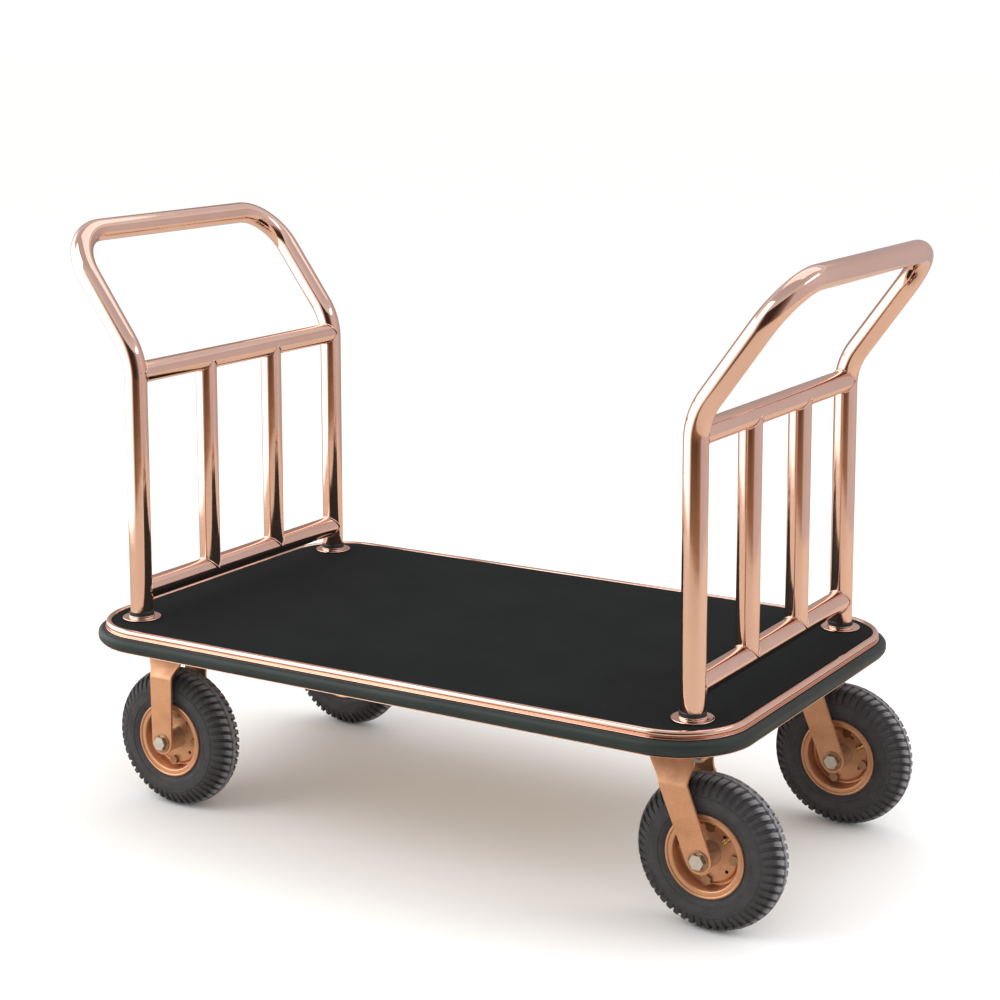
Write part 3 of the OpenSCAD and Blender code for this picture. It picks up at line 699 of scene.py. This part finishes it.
def make_welds(mat):
    beads = []
    up = Vector((0, 0, 1))
    cross = Vector((0, 1, 0))
    for sx in (-1, 1):
        for height in RAIL_HEIGHTS:
            for sy in (-1, 1):
                centre = Vector((sx * POST_X, sy * POST_Y, DECK_Z + height))
                beads.append(weld(centre, -cross * sy, up, TUBE_R, mat))
        for sy in (-1, 1):
            for height, toward in zip(RAIL_HEIGHTS, (up, -up)):
                centre = Vector((sx * POST_X, sy * BALUSTER_Y, DECK_Z + height))
                beads.append(weld(centre, toward, cross, RAIL_R, mat))
    settle(join("weld_beads", beads), "cart", "copper_mirror")


def make_flanges(mirror, rubber):
    """Polished flange with a neck round each post's foot, and a black seal between neck and tube."""
    discs, rings = [], []
    low = DECK_Z
    mouth = TUBE_R + 0.4 * MM
    edge, rise, neck_w, neck_h = 1.2 * MM, 2.4 * MM, 2.0 * MM, 3.2 * MM
    neck_r = mouth + neck_w
    top = low + rise
    disc = ([(mouth, low)] + arc((FLANGE_R - edge, low + edge), edge, -90, 75, 8)
            + [(FLANGE_R - 3 * MM, top - 0.1 * MM)]
            + arc((neck_r + 0.8 * MM, top + 0.8 * MM), 0.8 * MM, 270, 180, 5)
            + arc((neck_r - 0.8 * MM, top + neck_h - 0.8 * MM), 0.8 * MM, 0, 90, 5)
            + [(mouth, top + neck_h)])
    seal_w, seal_h, soft = 1.1 * MM, 5.6 * MM, 0.6 * MM
    base = top + neck_h
    seal = ([(mouth, base), (mouth + seal_w, base)]
            + arc((mouth + seal_w - soft, base + seal_h - soft), soft, 0, 90, 5)
            + [(TUBE_R - 0.2 * MM, base + seal_h)])
    for sx in (-1, 1):
        for sy in (-1, 1):
            place = (sx * POST_X, sy * POST_Y, 0)
            discs.append(lathe("flange", disc, mirror, place, 96, "Z"))
            rings.append(lathe("seal", seal, rubber, place, 72, "Z"))
    settle(join("foot_flanges", discs), "cart", "copper_mirror", "post_flanges")
    settle(join("foot_seals", rings), "cart", "bumper_rubber")


# ---- deck edge ----

edge_low, edge_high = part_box("edge_trim")
bumper_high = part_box("bumper")[1]
BUMPER_OUT = 12 * MM
TRIM_SHEET = 1.5 * MM
TRIM_HX = bumper_high.x - BUMPER_OUT
TRIM_HY = bumper_high.y - BUMPER_OUT
TRIM_R = 104 * MM
BEAD_R = 5 * MM
BEAD_GAP = 0.3 * MM


def around_deck(name, outline, mat, crease=40):
    """Sweeps a closed outline, (outward from the trim's line, height) points, round the deck."""
    corner_steps = 40
    sides = 10
    line = []
    for k, (sx, sy) in enumerate(((1, 1), (-1, 1), (-1, -1), (1, -1))):
        centre = Vector((sx * (TRIM_HX - TRIM_R), sy * (TRIM_HY - TRIM_R), 0))
        for i in range(corner_steps + 1):
            a = math.radians(90 * k + 90 * i / corner_steps)
            out = Vector((math.cos(a), math.sin(a), 0))
            line.append((centre + out * TRIM_R, out))
        after = line[-1][0]
        turn = ((-1, 0), (0, -1), (1, 0), (0, 1))[k]
        span = 2 * ((TRIM_HX if k % 2 == 0 else TRIM_HY) - TRIM_R)
        for i in range(1, sides):
            step = Vector((turn[0], turn[1], 0)) * span * i / sides
            line.append((after + step, line[-1][1]))
    verts = [point + out * u + Vector((0, 0, z)) for point, out in line for u, z in outline]
    obj = add_mesh(name, verts, grid_faces(len(line), len(outline), True, True), mat, crease)
    turn_outward(obj)
    return obj


def make_deck_edge(mirror, rubber):
    """Polished edging: a round bead, a thin band and a lower lip that hold the rubber bumper."""
    bead_z = edge_high.z - BEAD_R
    band = bumper_high.z
    lip = edge_low.z
    sheet = TRIM_SHEET
    back, face, root = -4.3 * MM, -2.8 * MM, -3.5 * MM
    band_out, lip_out, clear = 0.2 * MM, 6.2 * MM, 0.2 * MM
    bead = arc((-BEAD_R, bead_z), BEAD_R, 0, 345, 23)
    wall = [(back, lip + clear), (face, lip + clear), (face, bead_z), (back, bead_z)]
    strip = ([(root, band)] + arc((band_out, band + sheet / 2), sheet / 2, -90, 90, 8)
             + [(root, band + sheet)])
    under = ([(root, lip)] + arc((lip_out, lip + sheet / 2), sheet / 2, -90, 90, 8)
             + [(root, lip + sheet)])
    pieces = [around_deck("trim", outline, mirror) for outline in (bead, wall, strip, under)]
    settle(join("edge_trim_mouldings", pieces), "cart", "copper_mirror", "edge_trim")
    low, high, out = lip + sheet, band, BUMPER_OUT
    nose, step = 8.5 * MM, 0.7 * MM
    section = ([(face, low), (1 * MM, low)] + arc((out - nose, low + nose), nose, -90, 0, 12)
               + arc((out - nose, high - nose), nose, 0, 90, 12)
               + [(2.2 * MM, high), (1.4 * MM, high - step), (0.4 * MM, high - step),
                  (face, high - step)])
    strip = around_deck("bumper_strip", section, rubber, 50)
    settle(strip, "cart", "bumper_rubber", "bumper")


# ---- tyres ----

TYRE_R = 110 * MM
SECTION_R = 31 * MM
CASING = 6 * MM
RING_R = TYRE_R - SECTION_R
LUGS = 53


def tread_columns():
    """(share of the pitch, raised) for the columns of one lug and the groove after it."""
    return [(0.0, 1), (0.18, 1), (0.36, 1), (0.54, 1), (0.62, 0), (0.77, 0), (0.92, 0)]


def tread_rows():
    """(angle from the crown, zig-zag, slant in pitches, relief) rows of one half of the section.
    The zig-zag is in degrees. Relief gives the depth below the full section on or off a lug."""
    def level(depth):
        return lambda lug: depth * MM

    def lugged(top, bottom):
        return lambda lug: (top if lug else bottom) * MM

    return [(0, 0, 0.0, level(0.0)), (4.5, 2.4, 0.0, level(0.0)), (5.6, 2.4, 0.0, level(4.0)),
            (8.2, 2.4, 0.0, level(4.2)), (9.4, 2.4, 0.0, lugged(0.1, 4.3)),
            (13, 1.6, 0.05, lugged(0.0, 4.5)), (19, 0, 0.14, lugged(0.0, 4.6)),
            (26, 0, 0.24, lugged(0.0, 4.6)), (33, 0, 0.33, lugged(0.0, 4.6)),
            (39, 0, 0.40, lugged(0.2, 4.4)), (42, 0, 0.43, lugged(0.6, 4.2)),
            (43.5, 0, 0.44, lugged(1.5, 4.0)), (49, 0, 0.47, lugged(1.3, 3.7)),
            (56, 0, 0.5, lugged(1.1, 3.3)), (63, 0, 0.5, lugged(1.0, 2.9)),
            (70, 0, 0.5, lugged(1.0, 2.5)), (74, 0, 0.5, lugged(1.1, 2.0)),
            (75.5, 0, 0.5, level(1.8)), (79, 0, 0.5, level(1.6)), (80, 0, 0.5, level(0.8)),
            (82, 0, 0.5, level(0.8)), (83, 0, 0.5, level(1.3)), (88, 0, 0.5, level(1.2)),
            (94, 0, 0.5, level(1.1)), (100, 0, 0.5, level(1.0)), (104, 0, 0.5, level(0.9)),
            (105, 0, 0.5, level(0.3)), (108, 0, 0.5, level(0.3)), (109, 0, 0.5, level(1.0)),
            (114, 0, 0.5, level(0.8)), (119, 0, 0.5, level(0.6)), (123, 0, 0.5, level(0.8))]


def bead_points():
    """Section points from the side wall's foot into the rim and back along the inside."""
    wall_in = SECTION_R - CASING
    foot = [(59.3 * MM, 24.4 * MM), (58.0 * MM, 22.8 * MM), (51.2 * MM, 22.6 * MM),
            (51.2 * MM, 17.0 * MM), (57.5 * MM, 16.9 * MM)]
    inside = [(RING_R + wall_in * math.cos(math.radians(a)), wall_in * math.sin(math.radians(a)))
              for a in (135, 110, 85, 60, 40, 20)]
    return foot + inside


def make_tyre(corner, mat, start):
    """Pneumatic tyre with a zig-zag centre rib, shoulder lugs that run into side ribs, and rings."""
    columns = tread_columns()
    half = tread_rows()
    rows = [(*row, -1) for row in half[:0:-1]] + [(*row, 1) for row in half]
    verts = []
    pitch = 2 * math.pi / LUGS

    def ring_of(point):
        radius, y = point
        return [(radius * math.cos(start + pitch * (i + share)), y,
                 radius * math.sin(start + pitch * (i + share)))
                for i in range(LUGS) for share, _ in columns]

    def tread_ring(angle, zigzag, slant, relief, side):
        ring = []
        phase = 0.5 if side > 0 else 0.0
        for i in range(LUGS):
            for share, lug in columns:
                around = start + pitch * (i + share + phase - side * slant)
                tilt = side * math.radians(angle + (zigzag if lug else -zigzag))
                reach = SECTION_R - relief(lug)
                radius = RING_R + reach * math.cos(tilt)
                ring.append((radius * math.cos(around), reach * math.sin(tilt),
                             radius * math.sin(around)))
        return ring

    for row in rows:
        verts += tread_ring(*row)
    inner = bead_points()
    closing = [(r, y) for r, y in inner] + [(RING_R + SECTION_R - CASING, 0.0)]
    closing += [(r, -y) for r, y in inner[::-1]]
    around_count = len(columns) * LUGS
    for point in closing:
        verts += ring_of(point)
    count = len(rows) + len(closing)
    faces = grid_faces(count, around_count, True, True)
    tyre = add_mesh(corner + "_lugged_tyre", verts, faces, mat, 34, caster_of(corner))
    turn_outward(tyre)
    return settle(tyre, corner + "_wheel", "tyre_rubber", corner + "_tyre")


# ---- rims ----

RIM_R = 59.5 * MM
SEAT_R = 48.4 * MM
SHEET = 2.5 * MM
VENT_R = 34 * MM
VENT_HOLE_R = 2.6 * MM
RIM_BORE_R = 17.2 * MM
FIRST_BOLT = {"fl": 85, "rl": 30, "fr": -4, "rr": -15}


def rim_outline(side):
    """Section of one pressed half: a flat web, a rounded shoulder, a recess, the seat and the lip."""
    web, step, flange, lip = 8.5 * MM, 4.5 * MM, 25.5 * MM, 2.2 * MM
    back, half_gap = 6 * MM, 0.05 * MM
    outline = [(RIM_BORE_R, web), (37 * MM, web)]
    outline += arc((38.5 * MM, step), web - step, 90, 0, 8)
    outline += arc((45.2 * MM, step), 2.7 * MM, 180, 270, 5)
    outline += arc((45.4 * MM, 4.8 * MM), 3.0 * MM, 270, 360, 5)
    outline += arc((SEAT_R + SHEET, flange - SHEET), SHEET, 180, 90, 6)
    outline += arc((RIM_R - lip, flange), lip, 180, -90, 16)
    outline += [(SEAT_R + SHEET, flange - SHEET), (SEAT_R + SHEET, half_gap),
                (44 * MM, half_gap), (40 * MM, 3.2 * MM), (38 * MM, back), (RIM_BORE_R, back)]
    return [(r, side * y) for r, y in outline]


def make_rim(corner, mat):
    """Two pressed halves with a vent hole between each pair of bolts."""
    place = caster_of(corner)
    halves = [lathe("rim_half", rim_outline(side), mat, place, 144) for side in (-1, 1)]
    cutters = []
    reach = 12 * MM
    for k in range(4):
        turn = math.radians(FIRST_BOLT[corner] + 45 + 90 * k)
        centre = place + Vector((math.cos(turn), 0, -math.sin(turn))) * VENT_R
        hole = lathe("hole", [(VENT_HOLE_R, -reach), (VENT_HOLE_R, reach)], mat, centre, 24,
                     closed=False)
        close_ends(hole)
        cutters.append(hole)
    cutter = join("holes", cutters)
    for half in halves:
        cut(half, cutter)
    bpy.data.objects.remove(cutter)
    rim = join(corner + "_pressed_rim", halves)
    rim.data.shade_smooth()
    rim.data.set_sharp_from_angle(angle=math.radians(35))
    return settle(rim, corner + "_wheel", "copper_paint", corner + "_rim")


def close_ends(obj):
    """Fills the open ends of a turned piece."""
    shape = bmesh.new()
    shape.from_mesh(obj.data)
    bmesh.ops.holes_fill(shape, edges=[e for e in shape.edges if e.is_boundary], sides=0)
    bmesh.ops.recalc_face_normals(shape, faces=shape.faces)
    shape.to_mesh(obj.data)
    shape.free()


def apply_modifiers(obj):
    """Leaves the mesh as its modifiers make it, with no modifier on it."""
    graph = bpy.context.evaluated_depsgraph_get()
    mesh = bpy.data.meshes.new_from_object(obj.evaluated_get(graph))
    obj.modifiers.clear()
    obj.data = mesh


def cut(obj, cutter):
    """Takes the cutter's shape out of a mesh."""
    tool = obj.modifiers.new("cut", "BOOLEAN")
    tool.operation = "DIFFERENCE"
    tool.solver = "EXACT"
    tool.object = cutter
    bpy.context.view_layer.update()
    apply_modifiers(obj)


# ---- forks ----

FORK_T = 4 * MM
FORK_OUTER = 44 * MM
LEG_HALF = 20.5 * MM
TIP_R = 19 * MM
FORK_NECK = 38 * MM
FORK_SHOULDER = 25 * MM
CROWN_HALF = 34 * MM


def fork_body(corner):
    """Body that a corner's fork belongs to."""
    return corner + "_swivel" if corner in SWIVELS else "cart"


def fork_section(top, tip):
    """Outer line of the bent sheet in the plane across the cart, tip to tip over the crown."""
    neck = top - FORK_NECK
    corners = [(0, -FORK_OUTER, tip), (0, -FORK_OUTER, neck), (0, -FORK_SHOULDER, top),
               (0, FORK_SHOULDER, top), (0, FORK_OUTER, neck), (0, FORK_OUTER, tip)]
    return rounded_path(corners, (15 * MM, 9 * MM, 9 * MM, 15 * MM), 9)


def leg_edges(z, top, axle):
    """Left and right edge of a fork leg, along the cart, at a height; axle is (x, z) of the axle."""
    neck = Vector((axle.x * 0.2, top - FORK_NECK))
    run = (axle - neck).normalized()
    across = Vector((-run.y, run.x))
    if across.x < 0:
        across = -across
    if z >= neck.y:
        share = min((z - neck.y) / (FORK_NECK - 5 * MM), 1)
        flare = share * share * (3 - 2 * share)
        middle = neck.x * (1 - share)
        half = (LEG_HALF / across.x) * (1 - flare) + CROWN_HALF * flare
        return middle - half, middle + half
    share = (neck.y - z) / (neck.y - axle.y)
    middle = neck.x + (axle.x - neck.x) * share
    half = (LEG_HALF + (TIP_R - LEG_HALF) * min(share, 1)) / across.x
    rise = abs(run.x) * TIP_R * (1 if run.x > 0 else -1)
    dip = math.sqrt(max(TIP_R ** 2 - (z - axle.y) ** 2, 0))
    left = axle.x - dip if z < axle.y - rise else middle - half
    right = axle.x + dip if z < axle.y + rise else middle + half
    return left, right


def fork_line(top, tip):
    """Points down the middle of the sheet, close enough together for its edges to curve."""
    line = fork_section(top, tip + 0.05 * MM)
    fine = []
    for a, b in zip(line, line[1:]):
        steps = max(1, round((b - a).length / (5 * MM)))
        fine += [a.lerp(b, i / steps) for i in range(steps)]
    fine.append(line[-1])
    low_part = [(1 - math.cos(math.pi / 2 * k / 10)) * TIP_R for k in range(1, 10)]
    ends = [Vector((0, -FORK_OUTER, tip + h)) for h in low_part]
    return ([fine[0]] + ends + [p for p in fine if p.z > tip + TIP_R]
            + [Vector((0, -p.y, p.z)) for p in ends[::-1]] + [fine[-1]])


def fork_sheet(name, top, axle, mat, place):
    """The bent sheet with its thickness and rounded edges; axle is (x, z) from the pivot."""
    fine = fork_line(top, axle.y - TIP_R)
    cols = 12
    verts = []
    for p in fine:
        left, right = leg_edges(p.z, top, axle)
        verts += [(left + (right - left) * j / cols, p.y, p.z) for j in range(cols + 1)]
    sheet = add_mesh(name, verts, grid_faces(len(fine), cols + 1), mat, 40, place)
    turn_outward(sheet)
    thick = sheet.modifiers.new("thick", "SOLIDIFY")
    thick.thickness = FORK_T
    thick.offset = -1 if sheet_faces_out(sheet, top) else 1
    edge = sheet.modifiers.new("edge", "BEVEL")
    edge.width = 0.9 * MM
    edge.segments = 3
    edge.limit_method = "ANGLE"
    edge.angle_limit = math.radians(50)
    bpy.context.view_layer.update()
    apply_modifiers(sheet)
    return sheet


def make_fork(corner, mat):
    """Pressed fork: a flat crown, legs that slope out, bend at the neck and end round the axle."""
    swivel = corner in SWIVELS
    wheel = caster_of(corner)
    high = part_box(corner + "_fork")[1]
    pivot_x = SWIVEL_X if swivel else wheel.x
    top = (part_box("swivel_plates")[0].z - 0.1 * MM) if swivel else high.z - FORK_T
    place = (pivot_x, wheel.y, 0)
    axle = Vector((wheel.x - pivot_x, wheel.z))
    sheet = fork_sheet(corner + "_pressed_fork", top, axle, mat, place)
    upper = race_cup(top, mat, place) if swivel else mounting_plate(high.z, mat, place)
    fork = join(corner + "_pressed_fork", [sheet, upper])
    fork.data.shade_smooth()
    fork.data.set_sharp_from_angle(angle=math.radians(35))
    return settle(fork, fork_body(corner), "copper_paint", corner + "_fork")


def make_axle_washers(corner, mat):
    """Bronzed washer with rounded edges round the axle bolt's head and nut."""
    inner, outer, thick, soft = 11.2 * MM, 15 * MM, 1.8 * MM, 0.6 * MM
    wheel = caster_of(corner)
    washers = []
    for side in (-1, 1):
        low, high = FORK_OUTER + 0.05 * MM, FORK_OUTER + thick
        outline = ([(inner, low), (outer, low)] + arc((outer - soft, high - soft), soft, 0, 90, 5)
                   + arc((inner + soft, high - soft), soft, 90, 180, 5))
        outline = [(r, side * y) for r, y in outline]
        washers.append(lathe("washer", outline, mat, wheel, 64))
    settle(join(corner + "_axle_washers", washers), fork_body(corner), "zinc")


def sheet_faces_out(sheet, top):
    """True if the crown's faces look up."""
    faces = [f for f in sheet.data.polygons if f.center.z > top - 0.5 * MM]
    return sum(f.normal.z for f in faces) > 0


def race_cup(top, mat, place):
    """Turned cup of the lower ball race, on the fork's crown."""
    cup_r, bore_r, rim_h, soft, lip = 38 * MM, 8 * MM, 3.6 * MM, 1.5 * MM, 0.7 * MM
    low = top - FORK_T + 0.1 * MM
    outline = ([(bore_r, low), (cup_r - 2 * soft, low)]
               + arc((cup_r - soft, low + soft), soft, -90, 0, 5)
               + arc((cup_r - lip, top + rim_h - lip), lip, 0, 180, 8)
               + [(cup_r - 2 * lip, top), (bore_r, top)])
    return lathe("race_cup", outline, mat, place, 96, "Z")


def mounting_plate(top, mat, place):
    """Rounded plate that bolts to the frame."""
    half_x, half_y, corner_r, soft = 60 * MM, 50 * MM, 8 * MM, 0.8 * MM
    levels = ((soft, 0), (0, soft), (0, FORK_T - soft), (soft, FORK_T))
    rings = []
    for inset, rise in levels:
        z = top - FORK_T + rise
        rings.append([Vector((x, y, z)) for x, y in
                      rounded_outline(half_x - inset, half_y - inset, corner_r - inset, 8)])
    count = len(rings[0])
    verts = [v for ring in rings for v in ring]
    faces = grid_faces(len(rings), count, False, True)
    faces += [tuple(range(count)), tuple(range(3 * count, 4 * count))]
    plate = add_mesh("plate", verts, faces, mat, 35, place)
    turn_outward(plate)
    return plate


# ---- carpet ----

def rounded_outline(half_x, half_y, radius, steps=16):
    """Corner points of a rounded rectangle, anticlockwise."""
    points = []
    for k, (sx, sy) in enumerate(((1, 1), (-1, 1), (-1, -1), (1, -1))):
        points += arc((sx * (half_x - radius), sy * (half_y - radius)), radius, 90 * k, 90 * k + 90,
                      steps)
    return points


def carpet_grid(half_x, half_y, radius, cols, rows, turn_steps):
    """Grid of (x, y) points that fills a rounded rectangle, column by column along x."""
    flat = half_x - radius
    xs = [-flat - radius * math.cos(math.pi / 2 * i / turn_steps) for i in range(turn_steps)]
    xs += [-flat + 2 * flat * i / cols for i in range(cols + 1)]
    xs += [flat + radius * math.sin(math.pi / 2 * (i + 1) / turn_steps) for i in range(turn_steps)]
    grid = []
    for x in xs:
        over = max(abs(x) - flat, 0)
        half = half_y - radius + math.sqrt(max(radius ** 2 - over ** 2, 0))
        grid.append([(x, half * (2 * j / rows - 1)) for j in range(rows + 1)])
    return grid


def make_carpet(mat):
    """Felt carpet laid on the deck: a gently uneven top, a rounded cut edge and a flat back."""
    half_x, half_y, radius = carpet_high.x, carpet_high.y, TRIM_R - 2 * BEAD_R - BEAD_GAP
    cols, rows, turn_steps, soft = 120, 84, 14, 1.2 * MM
    top_grid = carpet_grid(half_x - soft, half_y - soft, radius - soft, cols, rows, turn_steps)
    full = carpet_grid(half_x, half_y, radius, cols, rows, turn_steps)
    count, wide = len(top_grid), rows + 1
    verts = []
    for column in top_grid:
        for x, y in column:
            wave = noise_3d.noise(Vector((x, y, 0)) * 9) + 0.6 * noise_3d.noise(Vector((x, y, 3)) * 60)
            verts.append((x, y, DECK_Z - 0.45 * MM + 0.25 * MM * wave))
    faces = grid_faces(count, wide)
    loop = ([(i, 0) for i in range(count)] + [(count - 1, j) for j in range(1, wide)]
            + [(i, rows) for i in range(count - 2, -1, -1)] + [(0, j) for j in range(rows - 1, 0, -1)])
    ring = [i * wide + j for i, j in loop]
    for inset, z in ((0.35, DECK_Z - 0.8 * MM), (0.0, DECK_Z - 1.7 * MM), (0.0, carpet_low.z)):
        first = len(verts)
        for i, j in loop:
            a, b = Vector(full[i][j]), Vector(top_grid[i][j])
            verts.append((*(a + (b - a) * inset), z))
        after = list(range(first, first + len(loop)))
        size = len(loop)
        faces += [(ring[k], ring[(k + 1) % size], after[(k + 1) % size], after[k])
                  for k in range(size)]
        ring = after
    faces.append(tuple(ring))
    carpet = add_mesh("felt_carpet", verts, faces, mat, 60)
    turn_outward(carpet)
    settle(carpet, "cart", "carpet", "carpet")


make_camera()
materials = {make.__name__: make() for make in (
    copper_mirror, copper_paint, bumper_rubber, tyre_rubber, carpet_pile, zinc_plate, bronzed_zinc,
    dull_zinc, bearing_steel, frame_paint, plywood, tube_rubber, valve_brass)}
make_studio()
dress_nodes(materials)
make_handles(materials["copper_mirror"])
make_rails(materials["copper_mirror"])
make_welds(materials["copper_mirror"])
make_flanges(materials["copper_mirror"], materials["bumper_rubber"])
make_deck_edge(materials["copper_mirror"], materials["bumper_rubber"])
make_carpet(materials["carpet_pile"])
for number, wheel in enumerate(WHEELS):
    make_tyre(wheel, materials["tyre_rubber"], 0.37 * number)
    make_rim(wheel, materials["copper_paint"])
    make_fork(wheel, materials["copper_paint"])
    make_axle_washers(wheel, materials["bronzed_zinc"])
